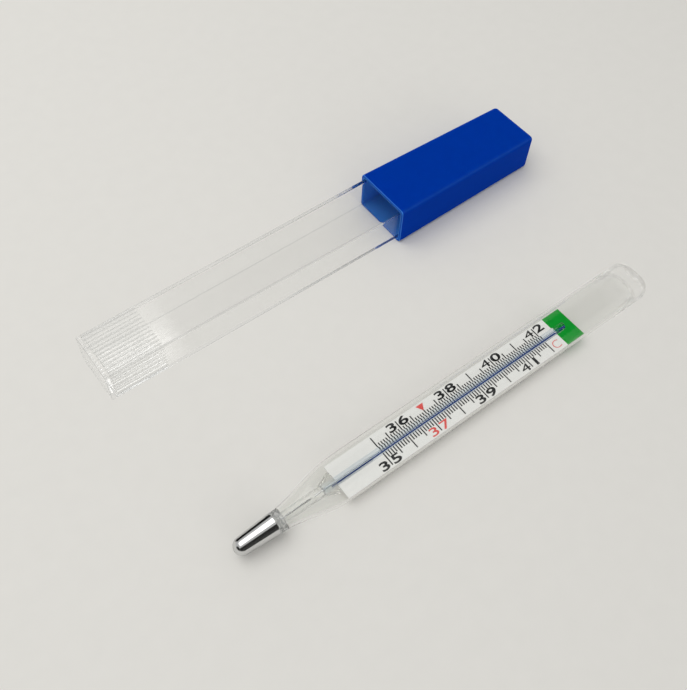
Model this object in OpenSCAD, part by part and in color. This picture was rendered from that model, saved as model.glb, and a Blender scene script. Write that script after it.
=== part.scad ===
// Glass clinical thermometer with its clear travel case and push-on cap.
// The thermometer and the case lie side by side on one surface, both along X, the bulb at the low end.
// The origin is under the middle of the set, +Z is up.

/* [Glass body] */
// Length of the thermometer from the bulb's tip to the sealed end
overall_length = 122.8; // [118:0.1:135]
// Width of the flattened glass body
body_width = 11; // [10:0.1:11.8]
// Thickness of the flattened glass body before its back is flattened
body_thickness = 7.6; // [7:0.1:8]
// Squareness of the body's oval section, where 2 is an ellipse
section_squareness = 2.4; // [2:0.1:3]
// Wall of the glass body
glass_wall = 0.6; // [0.4:0.05:0.8]
// Depth of the narrow flat along the back, on which the body rests
back_flat_depth = 0.15; // [0.05:0.05:0.3]
// Length of the solid glass end
sealed_end_length = 4.6; // [4:0.1:9]
// Rounding of the sealed end, all round
sealed_end_rounding = 2.8; // [1:0.1:3.2]
// Depth of the small pit that the sealing flame leaves inside the end
end_pit_depth = 1.2; // [0.6:0.1:1.6]
// Diameter of the small pit at its mouth
end_pit_diameter = 1.2; // [0.6:0.1:1.8]

/* [Bulb and neck] */
// Length of the bulb
bulb_length = 10.1; // [8:0.1:13]
// Diameter of the bulb near its tip
bulb_diameter = 4.2; // [3.8:0.1:4.8]
// Wall of the bulb
bulb_wall = 0.3; // [0.2:0.05:0.5]
// Diameter of the fused neck behind the bulb
neck_diameter = 5.2; // [4.9:0.1:6]
// Length of the fused neck
neck_length = 2; // [1.2:0.1:3]
// Length over which the neck widens into the body
taper_length = 14.4; // [13:0.1:17]

/* [Stem and capillary] */
// Diameter of the thick stem above the bulb
stem_diameter = 2.6; // [2.2:0.1:3.2]
// Distance from the stem's flared collar to the scale plate
stem_to_plate = 0.8; // [0.6:0.1:3]
// Diameter of the flared collar at the stem's top
flare_diameter = 5.5; // [4.8:0.1:5.6]
// Length of the flared collar
flare_length = 3.6; // [3:0.1:4.4]
// Wall of the flared collar
flare_wall = 0.35; // [0.25:0.05:0.4]
// Length of solid glass between the stem and the hollow of the collar
flare_base = 0.8; // [0.7:0.1:1.2]
// Diameter of the bore
bore_diameter = 0.4; // [0.3:0.02:0.5]
// Diameter of the bore at the constriction
constriction_diameter = 0.16; // [0.1:0.02:0.24]
// Distance of the constriction from the bulb's shoulder
constriction_distance = 10.2; // [8:0.1:10.6]
// Length of the constriction
constriction_length = 0.8; // [0.4:0.1:1.2]
// Radius of the capillary's rounded front
capillary_radius = 1; // [0.8:0.05:1.2]
// Depth of the capillary's flat back below its bore
capillary_back = 0.55; // [0.4:0.05:0.7]
// Length of the closed glass end of the capillary
capillary_end_length = 1.6; // [0.8:0.1:2.5]
// Diameter of the safety chamber at the top of the bore
chamber_diameter = 0.7; // [0.5:0.05:0.9]
// Length of the safety chamber
chamber_length = 2; // [1:0.1:3]
// Width of the coloured stripe behind the capillary
stripe_width = 0.26; // [0.2:0.02:0.4]
// Length of the stripe that shows before the scale plate
stripe_lead = 1.4; // [0.5:0.1:2]
// Thickness of the coloured stripe
stripe_thickness = 0.08; // [0.04:0.01:0.15]

/* [Liquid] */
// Clearance of the liquid thread in the bore, at the radius
thread_clearance = 0.04; // [0.02:0.01:0.08]
// Degrees by which the shaken-down thread stands below the lowest graduation
rest_drop = 0.4; // [0.2:0.1:1.6]
// Clearance between the liquid and the bulb's wall
liquid_clearance = 0.02; // [0.01:0.01:0.05]

/* [Scale] */
// Distance from the end of the taper to the start of the scale plate
plate_inset = 0.1; // [0:0.1:2]
// Distance from the start of the scale plate to the lowest graduation
first_mark_distance = 12.7; // [10:0.1:15]
// Length of one degree on the scale
degree_length = 7.24; // [6.8:0.01:7.4]
// Lowest graduation, in degrees Celsius
first_degree = 35; // [34:1:36]
// Highest graduation, in degrees Celsius
last_degree = 42; // [41:1:43]
// Length of the scale plate past the highest graduation
plate_tail = 4.2; // [2:0.1:5]
// Thickness of the scale plate
plate_thickness = 0.5; // [0.3:0.05:0.8]
// Clearance between the scale plate and the glass at each side
plate_clearance = 0.06; // [0.03:0.01:0.2]
// Length of the end retainer behind the scale plate
retainer_length = 5.6; // [3:0.1:8]
// Length of the capillary that lies over the retainer
capillary_overlap = 2.8; // [1:0.1:4.5]
// Thickness of the printed ink
ink_thickness = 0.03; // [0.02:0.01:0.05]
// Width of a graduation line
mark_width = 0.28; // [0.15:0.01:0.36]
// Distance from the axis at which the graduation lines start
mark_start = 0.24; // [0.22:0.01:0.6]
// Reach of a tenth-degree line from the axis
tenth_reach = 2.1; // [1.6:0.1:2.5]
// Reach of a half-degree line from the axis
half_reach = 3.1; // [2.8:0.1:3.5]
// Reach of a degree line from the axis
degree_reach = 4.1; // [3.8:0.05:4.3]
// Degree that carries the coloured arrow
arrow_degree = 37; // [36:1:41]
// Width of the arrow across its base
arrow_width = 2.1; // [1.2:0.1:2.6]
// Length of the arrow
arrow_length = 1.8; // [1:0.1:2.2]
// Distance of the arrow's tip from the axis
arrow_tip = 2.35; // [2.1:0.05:2.5]

/* [Case tube] */
// Width of the case cavity at its mouth
cavity_width = 13.6; // [12.6:0.1:15]
// Height of the case cavity
cavity_height = 8.2; // [8.1:0.1:9.5]
// Wall of the case tube
case_wall = 0.8; // [0.6:0.05:1]
// Narrowing of the tube's width from the cap to the closed end
case_draft = 1; // [0:0.1:1.2]
// Thickness of the tube's closed end
case_end_wall = 1.5; // [1:0.1:3]
// Length of the tube in front of the cap
tube_visible_length = 85.1; // [80:0.1:95]
// Length of the tube inside the cap
tube_engagement = 18; // [12:0.5:24]
// Rounding of the tube's long edges, outside
case_edge_radius = 0.7; // [0.6:0.1:2.2]
// Length of the grip ribs at the closed end
rib_length = 14; // [8:0.5:20]
// Distance of the grip ribs from the closed end
rib_inset = 1.2; // [0.5:0.1:3]
// Height of a grip rib
rib_height = 0.16; // [0.12:0.02:0.3]
// Width of a grip rib
rib_width = 0.5; // [0.3:0.05:0.6]
// Distance between grip ribs
rib_pitch = 1.1; // [0.9:0.05:1.6]

/* [Case cap] */
// Clearance between the cap and the tube at each side
cap_clearance = 0.15; // [0.1:0.01:0.2]
// Wall of the cap at its mouth
cap_wall = 0.85; // [0.7:0.05:1.2]
// Length of the cap
cap_length = 48; // [44:0.5:55]
// Narrowing of the cap's width from its mouth to its closed end
cap_draft = 1.6; // [0:0.1:1.8]
// Fall of the cap's top from its mouth to its closed end
cap_top_fall = 0.6; // [0:0.1:0.8]
// Thickness of the cap's closed end
cap_end_wall = 1.4; // [1:0.1:2.5]
// Rounding of the cap's edges
cap_edge_radius = 1.2; // [1:0.1:2]
// End play between the tube's mouth and the stop inside the cap
cap_end_play = 0.3; // [0.2:0.05:0.6]

/* [Set] */
// Distance of the case's closed end behind the bulb's tip, along X
case_set_back = 2.1; // [0:0.1:10]
// Distance between the axes of the thermometer and the case
case_spacing = 55; // [30:0.5:70]

/* [Hidden] */
$fn = 64;

// Points around the body's oval section and along a curved profile
section_points = 72;
profile_steps = 14;
end_steps = 7;
// Overlap that makes sure a cut passes its face
cut = 0.5;
// Play of the glass stem in the fused neck
fuse_gap = 0.02;
// Facets around a rounded corner of the case
corner_facets = 32;
// Thickness of the slices between which the drafted case walls are stretched
slice = 0.01;

// Stations along the thermometer, from the bulb's tip
neck_start = bulb_length;
neck_end = neck_start + neck_length;
taper_end = neck_end + taper_length;
cavity_end = overall_length - sealed_end_length;
plate_start = taper_end + plate_inset;
stem_end = plate_start - stem_to_plate;
flare_start = stem_end - flare_length;
capillary_start = flare_start + flare_base;
first_mark = plate_start + first_mark_distance;
last_mark = first_mark + (last_degree - first_degree) * degree_length;
plate_end = last_mark + plate_tail;
retainer_end = plate_end + retainer_length;
capillary_end = plate_end + capillary_overlap;
constriction = bulb_length + constriction_distance;
constriction_top = constriction + constriction_length / 2;
thread_top = first_mark - rest_drop * degree_length;
thread_start = constriction_top + thread_clearance;
thread_travel = last_mark - thread_top;

// Heights and widths of the thermometer, from its axis
axis_height = body_thickness / 2 - back_flat_depth;
half_width = body_width / 2;
half_thickness = body_thickness / 2;
neck_radius = neck_diameter / 2;
bulb_radius = bulb_diameter / 2;
stem_radius = stem_diameter / 2;
flare_radius = flare_diameter / 2;
flare_base_radius = stem_radius + (flare_radius - stem_radius) * flare_base / flare_length;
bore_radius = bore_diameter / 2;
thread_radius = bore_radius - thread_clearance;
stripe_bottom = -capillary_back - stripe_thickness;
plate_top = stripe_bottom;
plate_bottom = plate_top - plate_thickness;
bulb_shoulder_radius = neck_radius - fuse_gap;
plate_half_width = oval_half_width(half_width - glass_wall, half_thickness - glass_wall, plate_bottom)
    - plate_clearance;

// Case sections and stations, from the closed end
tube_width = cavity_width + 2 * case_wall;
tube_height = cavity_height + 2 * case_wall;
tube_length = tube_visible_length + tube_engagement;
cavity_radius = case_edge_radius - case_wall / 2;
cap_fit_width = tube_width + 2 * cap_clearance;
cap_fit_height = tube_height + 2 * cap_clearance;
cap_fit_radius = case_edge_radius + cap_clearance;
cap_width = cap_fit_width + 2 * cap_wall;
cap_height = cap_fit_height + 2 * cap_wall;
cap_stop = tube_length + cap_end_play;
cap_end = tube_visible_length + cap_length;
cap_back_width = cap_width - cap_draft;
cap_back_height = cap_height - cap_top_fall;
case_axis_height = cap_height / 2;

// Place of the two pieces of the set about the common origin
set_low_x = min(0, -case_set_back);
set_high_x = max(overall_length, cap_end - case_set_back);
set_low_y = -half_width;
set_high_y = case_spacing + cap_width / 2;
set_middle = [(set_low_x + set_high_x) / 2, (set_low_y + set_high_y) / 2, 0];

// Half width of an oval section at a height from its middle
function oval_half_width(a, b, z) = a * pow(1 - pow(abs(z) / b, section_squareness), 1 / section_squareness);

// One coordinate of an oval section at an angle's sine or cosine
function oval_reach(half, c) = half * sign(c) * pow(abs(c), 2 / section_squareness);

// Points of an oval section with half width a and half thickness b
function oval(a, b) = [for (i = [0 : section_points - 1])
    let (angle = 360 * i / section_points) [oval_reach(a, cos(angle)), oval_reach(b, sin(angle))]];

// Smooth rise from 0 to 1
function smooth(t) = t * t * (3 - 2 * t);

// Radius of the taper's outside, from the neck into the body, as a share t of its length
function taper_radius(t) = neck_radius + (half_width - neck_radius) * (smooth(t) + t) / 2;

// Puts a piece of the thermometer in its place
module on_thermometer() {
    translate([0, 0, axis_height] - set_middle) children();
}

// Puts a piece of the case in its place, X from the closed end, the tube's axis at zero height
module on_case() {
    translate([-case_set_back, case_spacing, case_axis_height] - set_middle) children();
}

// Turns a profile of radius and station points about the X axis
module turned(points) {
    rotate([0, 90, 0]) rotate_extrude() polygon(points);
}

// Extrudes a flat section, given in Y and Z, along X between two stations
module along_x(from, to) {
    translate([from, 0, 0]) rotate([90, 0, 90]) linear_extrude(to - from) children();
}

// Solid of the glass body, round at the neck and oval past the taper, shrunk all round by an inset
module body_form(inset, from, to) {
    profile = [for (i = [0 : profile_steps]) let (t = i / profile_steps)
        [taper_radius(t) - inset, neck_end + t * taper_length]];
    far_radius = half_width + half_thickness;
    intersection() {
        turned(concat([[0, from], [neck_radius - inset, from]], profile,
            [[far_radius, taper_end + cut], [far_radius, to], [0, to]]));
        along_x(from, to) polygon(oval(half_width - inset, half_thickness - inset));
    }
}

// Cuts the flat along the back of the glass body
module back_flat(from, to) {
    translate([from - cut, -half_width, -half_thickness - cut])
        cube([to - from + 2 * cut, body_width, half_thickness + cut - axis_height]);
}

// Rounded rectangle, centred, with arcs at the corners
module rounded_rectangle(width, height, radius) {
    square([width - 2 * radius, height], center = true);
    square([width, height - 2 * radius], center = true);
    for (y = [-1, 1], z = [-1, 1])
        translate([y * (width / 2 - radius), z * (height / 2 - radius)]) circle(radius);
}

// Thin slice of a rounded rectangle at a station of the case
module case_slice(at, width, height, radius) {
    along_x(at, at + slice) rounded_rectangle(width, height, radius, $fn = corner_facets);
}

// One printed line across the scale plate on both sides of the axis
module mark_line(at, reach) {
    for (side = [-1, 1])
        translate([at - mark_width / 2, min(side * mark_start, side * reach), plate_top])
            cube([mark_width, reach - mark_start, ink_thickness]);
}

// Printed lines at every tenth degree whose number of tenths is a multiple of step but not of skip
module mark_lines(step, skip, reach) {
    for (tenth = [0 : step : (last_degree - first_degree) * 10])
        if (skip == 0 || tenth % skip != 0) mark_line(first_mark + tenth * degree_length / 10, reach);
}

// Outer glass body with its tapered neck, open at both ends
module envelope() {
    color([0.86, 0.9, 0.9, 0.35]) on_thermometer() difference() {
        body_form(0, neck_end, cavity_end);
        body_form(glass_wall, neck_end - cut, cavity_end + cut);
        back_flat(neck_end, cavity_end);
    }
}

// Solid glass end that seals the body, rounded in plan and from the side, with a pit inside
module end_closure() {
    rim = [for (i = [0 : end_steps]) let (angle = 90 * i / end_steps)
        [sealed_end_rounding * (1 - cos(angle)), overall_length - sealed_end_rounding * (1 - sin(angle))]];
    plan = [for (point = rim) [half_width - point.x, point.y]];
    upper = [for (point = rim) [point.y, half_thickness - point.x]];
    lower = [for (i = [end_steps : -1 : 0]) [rim[i].y, rim[i].x - half_thickness]];
    pit_radius = end_pit_diameter / 2;
    color([0.86, 0.9, 0.9, 0.35]) on_thermometer() difference() {
        intersection() {
            along_x(cavity_end, overall_length) polygon(oval(half_width, half_thickness));
            turned(concat([[0, cavity_end], [half_width, cavity_end]], plan, [[0, overall_length]]));
            rotate([90, 0, 0]) linear_extrude(body_width + 2 * cut, center = true)
                polygon(concat([[cavity_end - cut, half_thickness]], upper, lower,
                    [[cavity_end - cut, -half_thickness]]));
        }
        back_flat(cavity_end, overall_length);
        turned([[0, cavity_end - cut], [pit_radius, cavity_end - cut], [pit_radius, cavity_end],
            [pit_radius / 2, cavity_end + end_pit_depth], [0, cavity_end + end_pit_depth]]);
    }
}

// Fused glass ring that joins the bulb, the stem and the body
module neck_seal() {
    groove = neck_length / 4;
    waist = neck_radius - fuse_gap * 6;
    color([0.55, 0.57, 0.58, 0.6]) on_thermometer() turned([
        [stem_radius + fuse_gap, neck_start], [neck_radius, neck_start], [neck_radius, neck_start + groove],
        [waist, neck_start + 2 * groove], [neck_radius, neck_end - groove], [neck_radius, neck_end],
        [stem_radius + fuse_gap, neck_end]]);
}

// Half of the bulb's outline from its tip to its shoulder, shrunk by an inset
function bulb_profile(inset) = concat(
    [for (i = [0 : profile_steps]) let (angle = 90 * i / profile_steps)
        [(bulb_radius - inset) * sin(angle), bulb_radius - (bulb_radius - inset) * cos(angle)]],
    [[bulb_shoulder_radius - inset, bulb_length]]);

// Thin glass wall of the bulb
module bulb_glass() {
    color([0.86, 0.9, 0.9, 0.35]) on_thermometer() difference() {
        turned(concat(bulb_profile(0), [[0, bulb_length]]));
        turned(concat(bulb_profile(bulb_wall), [[bulb_shoulder_radius - bulb_wall, bulb_length + cut],
            [0, bulb_length + cut]]));
    }
}

// Liquid metal that fills the bulb and the stem's bore up to the constriction
module bulb_liquid() {
    fill = bulb_wall + liquid_clearance;
    column_end = constriction - constriction_length / 2 - thread_clearance;
    color([0.75, 0.76, 0.78]) on_thermometer() turned(concat(bulb_profile(fill), [
        [thread_radius, bulb_length], [thread_radius, column_end], [0, column_end]]));
}

// Thick stem with the constriction in its bore and a flared collar, in which the capillary starts
module stem_tube() {
    pinch_radius = constriction_diameter / 2;
    pinch = constriction_length / 2;
    color([0.86, 0.9, 0.9, 0.35]) on_thermometer() turned([
        [bore_radius, bulb_length], [stem_radius, bulb_length], [stem_radius, flare_start],
        [flare_radius, stem_end], [flare_radius - flare_wall, stem_end],
        [flare_base_radius - flare_wall, capillary_start], [bore_radius, capillary_start],
        [bore_radius, constriction + pinch], [pinch_radius, constriction], [bore_radius, constriction - pinch]]);
}

// Capillary with a rounded front, a flat back and a safety chamber at the top of its bore
module capillary_tube() {
    bore_end = capillary_end - capillary_end_length;
    color([0.86, 0.9, 0.9, 0.35]) on_thermometer() difference() {
        along_x(capillary_start, capillary_end) difference() {
            circle(capillary_radius);
            translate([-capillary_radius, -capillary_back - capillary_radius])
                square([2 * capillary_radius, capillary_radius]);
        }
        translate([capillary_start - cut, 0, 0]) rotate([0, 90, 0])
            cylinder(r = bore_radius, h = bore_end - capillary_start + cut);
        translate([bore_end - chamber_length, 0, 0]) rotate([0, 90, 0])
            cylinder(d = chamber_diameter, h = chamber_length);
    }
}

// Coloured stripe on the back of the capillary
module blue_stripe() {
    stripe_start = plate_start - stripe_lead;
    color([0.1, 0.22, 0.55]) on_thermometer() translate([stripe_start, -stripe_width / 2, stripe_bottom])
        cube([capillary_end - stripe_start, stripe_width, stripe_thickness]);
}

// Slug of liquid metal that rises in the bore
module liquid_thread() {
    color([0.75, 0.76, 0.78]) on_thermometer() translate([thread_start, 0, 0]) rotate([0, 90, 0])
        cylinder(r = thread_radius, h = thread_top - thread_start);
}

// White plate that carries the scale
module scale_plate() {
    color([0.95, 0.95, 0.93]) on_thermometer() translate([plate_start, -plate_half_width, plate_bottom])
        cube([plate_end - plate_start, 2 * plate_half_width, plate_thickness]);
}

// Green piece that holds the top of the scale plate and the capillary
module scale_retainer() {
    color([0.04, 0.6, 0.18]) on_thermometer() translate([plate_end, -plate_half_width, plate_bottom])
        cube([retainer_end - plate_end, 2 * plate_half_width, plate_thickness]);
}

// Long printed lines at the whole degrees
module degree_lines() {
    color([0.08, 0.09, 0.09]) on_thermometer() mark_lines(10, 0, degree_reach);
}

// Middle printed lines at the half degrees
module half_degree_lines() {
    color([0.08, 0.09, 0.09]) on_thermometer() mark_lines(5, 10, half_reach);
}

// Short printed lines at the tenth degrees
module tenth_lines() {
    color([0.08, 0.09, 0.09]) on_thermometer() mark_lines(1, 5, tenth_reach);
}

// Coloured arrow printed over one degree line, on the side of the case
module fever_arrow() {
    at = first_mark + (arrow_degree - first_degree) * degree_length;
    color([0.85, 0.2, 0.2]) on_thermometer() translate([at, arrow_tip, plate_top + ink_thickness])
        linear_extrude(ink_thickness) polygon([[0, 0], [arrow_width / 2, arrow_length],
            [-arrow_width / 2, arrow_length]]);
}

// Outside of the case tube, narrower at its closed end
module tube_form() {
    hull() {
        case_slice(0, tube_width - case_draft, tube_height, case_edge_radius);
        case_slice(tube_visible_length - slice, tube_width, tube_height, case_edge_radius);
    }
    along_x(tube_visible_length - slice, tube_length)
        rounded_rectangle(tube_width, tube_height, case_edge_radius);
}

// Hollow of the case tube
module tube_cavity() {
    hull() {
        case_slice(case_end_wall, cavity_width - case_draft, cavity_height, cavity_radius);
        case_slice(tube_visible_length - slice, cavity_width, cavity_height, cavity_radius);
    }
    along_x(tube_visible_length - slice, tube_length + cut)
        rounded_rectangle(cavity_width, cavity_height, cavity_radius);
}

// Row of grip ribs on two opposite faces, spread over a face's width, standing on its half height
module grip_ribs(face_width, face_half_height) {
    count = floor((face_width - 2 * case_edge_radius - rib_width) / rib_pitch);
    for (i = [0 : count], side = [-1, 1])
        translate([rib_inset, (i - count / 2) * rib_pitch - rib_width / 2,
            side * face_half_height - rib_height])
            cube([rib_length, rib_width, 2 * rib_height]);
}

// Clear case tube, closed at one end, with grip ribs round the closed end
module case_tube() {
    closed_width = tube_width - case_draft;
    color([0.9, 0.93, 0.95, 0.35]) on_case() difference() {
        union() {
            tube_form();
            grip_ribs(closed_width, tube_height / 2);
            rotate([90, 0, 0]) grip_ribs(tube_height, closed_width / 2);
        }
        tube_cavity();
    }
}

// Outside of the cap, flat below, drafted at the sides and the top, rounded at its closed end
module cap_form() {
    hull() {
        case_slice(tube_visible_length, cap_width, cap_height, cap_edge_radius);
        for (y = [-1, 1], z = [0, 1])
            translate([cap_end - cap_edge_radius, y * (cap_back_width / 2 - cap_edge_radius),
                -case_axis_height + cap_edge_radius + z * (cap_back_height - 2 * cap_edge_radius)])
                sphere(cap_edge_radius, $fn = corner_facets);
    }
}

// Hollow of the cap: a straight fit over the tube, a stop, then a narrower end
module cap_cavity() {
    stop_width = cavity_width - 2 * cap_clearance;
    stop_height = cavity_height;
    along_x(tube_visible_length - cut, cap_stop)
        rounded_rectangle(cap_fit_width, cap_fit_height, cap_fit_radius);
    along_x(cap_stop - cut, cap_end - cap_end_wall) rounded_rectangle(stop_width, stop_height, cavity_radius);
}

// Blue cap that slides over the open end of the tube
module case_cap() {
    color([0, 0.21, 0.63]) on_case() difference() {
        cap_form();
        cap_cavity();
    }
}

envelope();
end_closure();
neck_seal();
bulb_glass();
bulb_liquid();
stem_tube();
capillary_tube();
blue_stripe();
liquid_thread();
scale_plate();
scale_retainer();
degree_lines();
half_degree_lines();
tenth_lines();
fever_arrow();
case_tube();
case_cap();
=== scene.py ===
"""Dresses a clinical thermometer and its case: glass, metal, printed scale, clear tube and blue cap."""

from math import cos, exp, inf, pi, radians, sin, sqrt

import bmesh
import bpy
from bpy.types import Node, NodeSocket, Operator, Panel, PropertyGroup, Scene
from mathutils import Matrix, Vector, noise


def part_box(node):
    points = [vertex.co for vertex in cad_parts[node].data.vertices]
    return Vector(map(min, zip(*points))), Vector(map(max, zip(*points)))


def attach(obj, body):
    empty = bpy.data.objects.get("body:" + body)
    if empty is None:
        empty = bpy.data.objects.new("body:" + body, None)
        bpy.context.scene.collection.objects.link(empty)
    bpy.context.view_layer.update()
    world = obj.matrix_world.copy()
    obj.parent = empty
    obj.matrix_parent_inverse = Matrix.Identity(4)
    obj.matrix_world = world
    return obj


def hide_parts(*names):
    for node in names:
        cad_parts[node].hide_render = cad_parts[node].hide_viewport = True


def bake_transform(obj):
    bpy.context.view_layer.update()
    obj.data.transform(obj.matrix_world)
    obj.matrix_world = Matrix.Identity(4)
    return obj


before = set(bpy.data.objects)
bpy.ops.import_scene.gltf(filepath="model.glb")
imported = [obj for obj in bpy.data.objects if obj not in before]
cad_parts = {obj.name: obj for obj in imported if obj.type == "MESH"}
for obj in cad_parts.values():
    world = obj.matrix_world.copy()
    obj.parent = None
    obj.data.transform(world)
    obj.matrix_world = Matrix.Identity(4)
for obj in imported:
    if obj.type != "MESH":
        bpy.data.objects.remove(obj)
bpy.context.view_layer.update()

bl_info = {
    "name": "Clinical thermometer and case",
    "version": (1, 0, 0),
    "blender": (4, 5, 0),
    "location": "3D View > Sidebar > Thermometer",
    "description": "Dresses a clinical thermometer, its clear case and its blue cap",
    "category": "Add Mesh",
}

MM = 0.001
TURN = 2 * pi
RIGHT_ANGLE = pi / 2

# Box corners of the solids that finer pieces replace
BODY_LOW, BODY_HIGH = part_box("envelope")
NECK_LOW, NECK_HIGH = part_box("neck_seal")
BULB_LOW, BULB_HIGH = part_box("bulb_glass")
STEM_LOW, STEM_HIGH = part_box("stem_tube")
CAPILLARY_LOW, CAPILLARY_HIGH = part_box("capillary_tube")
THREAD_LOW, THREAD_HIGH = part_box("liquid_thread")
DEGREES_LOW, DEGREES_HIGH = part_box("degree_lines")
TUBE_LOW, TUBE_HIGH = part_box("case_tube")
CAP_LOW, CAP_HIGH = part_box("case_cap")

# Where other solids end
SEALED_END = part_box("end_closure")[1].x
COLUMN_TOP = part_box("bulb_liquid")[1].x
PLATE_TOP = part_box("scale_plate")[1].z
HALVES_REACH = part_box("half_degree_lines")[1].y
TENTHS_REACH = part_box("tenth_lines")[1].y

# Axes of the thermometer and of the case, along X
AXIS_Y = (NECK_LOW.y + NECK_HIGH.y) / 2
AXIS_Z = (NECK_LOW.z + NECK_HIGH.z) / 2
CASE_Y = (CAP_LOW.y + CAP_HIGH.y) / 2
CASE_Z = (CAP_LOW.z + CAP_HIGH.z) / 2
NECK_RADIUS = (NECK_HIGH.y - NECK_LOW.y) / 2
BODY_HALF = (BODY_HIGH.y - BODY_LOW.y) / 2

FIRST_DEGREE = 35
FEVER_DEGREE = 37
LAST_DEGREE = 42
RING_POINTS = 96
ROUND_STEPS = 8
NOISE_RANGE = (0.3, 0.7)  # most values of a noise lie in it
RIPPLE_STRENGTH = 0.25
SUPPORT = 0.04 * MM  # distance of a support row or point from a rounding


# Sizes and colours

def span(name, description, size):
    """Property for a length, with its default in millimetres."""
    return bpy.props.FloatProperty(name=name, description=description, default=size * MM, unit="LENGTH")


def tint(name, description, default):
    """Property for a colour."""
    return bpy.props.FloatVectorProperty(name=name, description=description, default=default, subtype="COLOR")


class GlassSizes(PropertyGroup):
    """Sizes of the glass body, the bulb, the stem and the capillary"""

    wall: span("Glass wall", "Wall of the glass body", 0.6)
    squareness: bpy.props.FloatProperty(
        name="Squareness", description="Squareness of the oval section, where 2 is an ellipse", default=2.4)
    half_thickness: span("Half thickness", "Half thickness of the oval section before its back is flattened",
                         (BODY_HIGH.z - AXIS_Z) / MM)
    taper_length: span("Taper length", "Length over which the neck widens into the body", 14.4)
    rim_rounding: span("End rounding", "Rounding of the sealed end, all round", 2.8)
    hollow_rounding: span("Hollow rounding", "Rounding of the hollow's end", 2.2)
    pit_depth: span("Pit depth", "Depth of the pit inside the sealed end", 1.2)
    pit_radius: span("Pit radius", "Radius of the pit at its mouth", 0.6)
    bulb_wall: span("Bulb wall", "Wall of the bulb", 0.3)
    bulb_tip_radius: span("Bulb tip radius", "Radius of the bulb's round tip", 2.1)
    stem_radius: span("Stem radius", "Radius of the thick stem", 1.3)
    flare_length: span("Flare length", "Length of the flared collar at the stem's top", 3.6)
    flare_wall: span("Flare wall", "Wall of the flared collar", 0.35)
    bore_radius: span("Bore radius", "Radius of the bore", 0.2)
    pinch_radius: span("Pinch radius", "Radius of the bore at the constriction", 0.08)
    pinch_length: span("Pinch length", "Length of the constriction", 0.8)
    chamber_radius: span("Chamber radius", "Radius of the safety chamber", 0.35)
    chamber_length: span("Chamber length", "Length of the safety chamber", 2)
    capillary_end: span("Capillary end", "Length of the capillary's closed end", 1.6)


class ScaleSizes(PropertyGroup):
    """Sizes of the printed scale"""

    mark_width: span("Line width", "Width of a graduation line", 0.28)
    mark_start: span("Line start", "Distance from the axis at which the lines start", 0.24)
    ink_thickness: span("Ink thickness", "Thickness of the printed ink",
                        (DEGREES_HIGH.z - DEGREES_LOW.z) / MM)
    numeral_height: span("Numeral height", "Height of a numeral", 2.3)
    numeral_width: span("Numeral width", "Width of a nought", 2.6)
    numeral_pitch: span("Numeral pitch", "Distance between the middles of a pair of numerals", 3.35)
    numeral_row: span("Numeral row", "Distance of the numerals' middle from the axis", 3.3)


class CaseSizes(PropertyGroup):
    """Sizes of the clear tube and the blue cap"""

    wall: span("Tube wall", "Wall of the clear tube", 0.8)
    draft: span("Tube draft", "Narrowing of the tube towards its closed end", 1)
    end_wall: span("End wall", "Thickness of the tube's closed end", 1.5)
    edge_radius: span("Tube edge radius", "Rounding of the tube's long edges", 0.7)
    end_radius: span("Tube end radius", "Rounding of the closed end's rim", 0.28)
    rib_height: span("Rib height", "Height of a grip rib", 0.16)
    rib_width: span("Rib width", "Width of a grip rib", 0.5)
    rib_pitch: span("Rib pitch", "Distance between grip ribs", 1.1)
    rib_length: span("Rib length", "Length of a grip rib", 14)
    rib_inset: span("Rib inset", "Distance of the ribs from the closed end", 1.2)
    cap_wall: span("Cap wall", "Wall of the cap at its mouth", 0.85)
    cap_draft: span("Cap draft", "Narrowing of the cap towards its closed end", 1.6)
    cap_fall: span("Cap fall", "Fall of the cap's top towards its closed end", 0.6)
    cap_edge_radius: span("Cap edge radius", "Rounding of the cap's edges", 1.2)
    cap_rim_radius: span("Cap rim radius", "Rounding of the cap's mouth", 0.3)
    cap_end_wall: span("Cap end wall", "Thickness of the cap's closed end", 1.4)
    cap_play: span("Cap play", "End play between the tube's mouth and the cap's stop", 0.3)
    cap_stop_width: span("Stop depth", "Depth of the stop inside the cap", 1.1)


class Colours(PropertyGroup):
    """Colours of the finishes"""

    # Glass: partly the glass's own faint grey-green and partly painted shade, darkening the table seen
    # through the glass in place of the soft shadow that the clear pieces, which cast none, would throw
    glass: tint("Glass", "Tint of the glass", (0.95, 0.955, 0.945))
    capillary: tint("Capillary", "Tint of the capillary", (0.84, 0.89, 0.93))
    fused: tint("Fused glass", "Tint of the fused neck", (0.82, 0.83, 0.82))
    metal: tint("Liquid metal", "Colour of the liquid metal", (0.72, 0.72, 0.73))
    plate: tint("Scale plate", "White of the scale plate", (0.84, 0.84, 0.82))
    black: tint("Black ink", "Colour of the scale's ink", (0.012, 0.013, 0.014))
    red: tint("Red ink", "Colour of the red print", (0.76, 0.1, 0.09))
    green: tint("Green", "Colour of the retainer", (0.001, 0.31, 0.025))
    stripe: tint("Stripe", "Colour of the capillary's stripe", (0.014, 0.055, 0.23))
    tube: tint("Clear plastic", "Tint of the clear tube", (0.998, 1.0, 0.998))
    # Tube edges: painted shade, a grey mixed into the clear plastic along its rounded edges and ribs in place
    # of the dark lines that refraction draws there
    tube_edge: tint("Tube edges", "Grey of the clear plastic along its edges", (0.78, 0.79, 0.795))
    cap: tint("Cap", "Blue of the cap", (0.0002, 0.034, 0.335))
    # Cap's edges: painted light, a paler blue for a painted highlight on the rim and rounded edges and for
    # painted light in the hollow
    cap_edge: tint("Cap's edges", "Paler blue on the cap's edges", (0.07, 0.27, 0.72))
    table: tint("Table", "Pale colour of the table", (0.768, 0.756, 0.726))


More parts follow.
